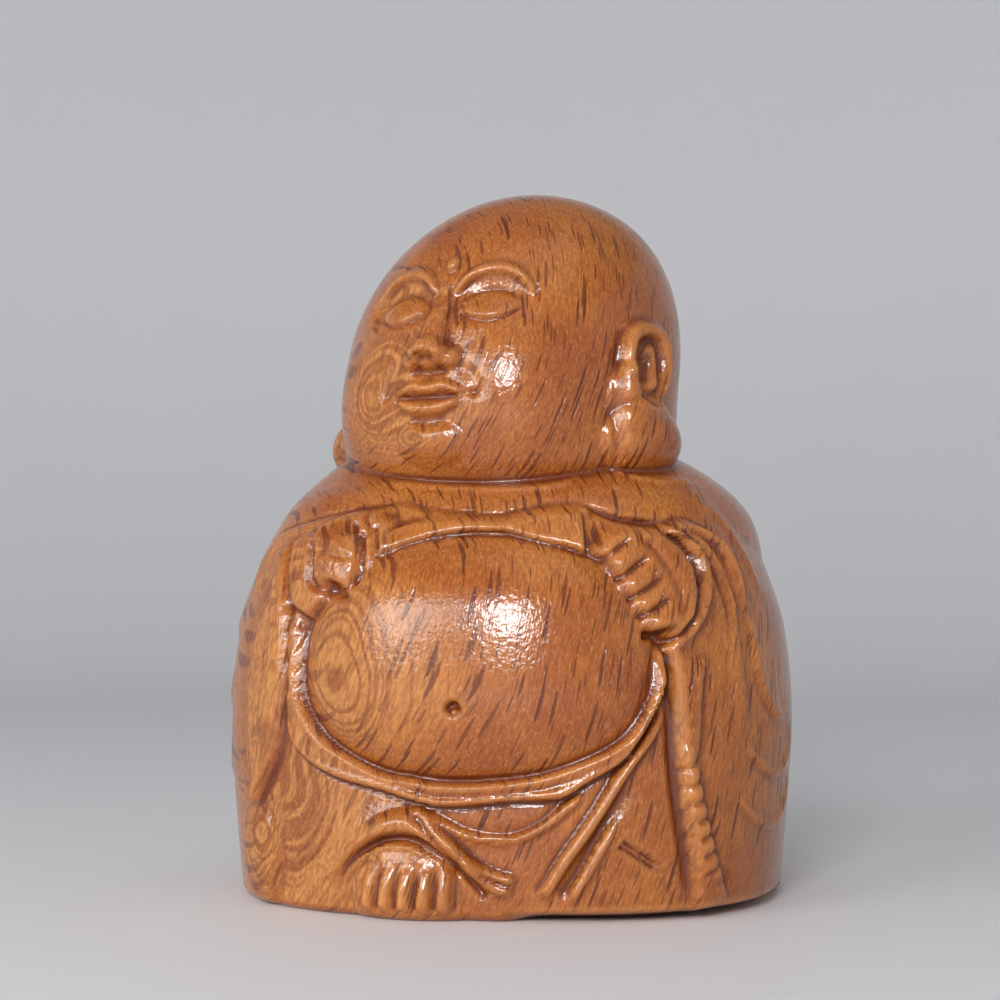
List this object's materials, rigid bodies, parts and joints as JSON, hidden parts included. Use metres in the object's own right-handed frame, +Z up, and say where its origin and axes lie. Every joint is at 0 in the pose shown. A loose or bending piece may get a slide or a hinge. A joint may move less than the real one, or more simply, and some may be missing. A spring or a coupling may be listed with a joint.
{
  "type": "buddha figurine",
  "caption": "Small solid beech carving of a robed buddha figure with a bare round belly, hands held at the chest, the head turned aside and a flat underside.",
  "frame": {"origin": "centre of the outline, at the height of the underside", "axes": "+Z up through the head, -Y toward the front of the body, +X toward the viewer's right"},
  "size_m": [0.0646, 0.0542, 0.0806],
  "materials": {
    "beech": "clear satin-gloss lacquer on orange-brown beech"
  },
  "bodies": {
    "root": {"carved_figure": "beech"}
  },
  "joints": []
}
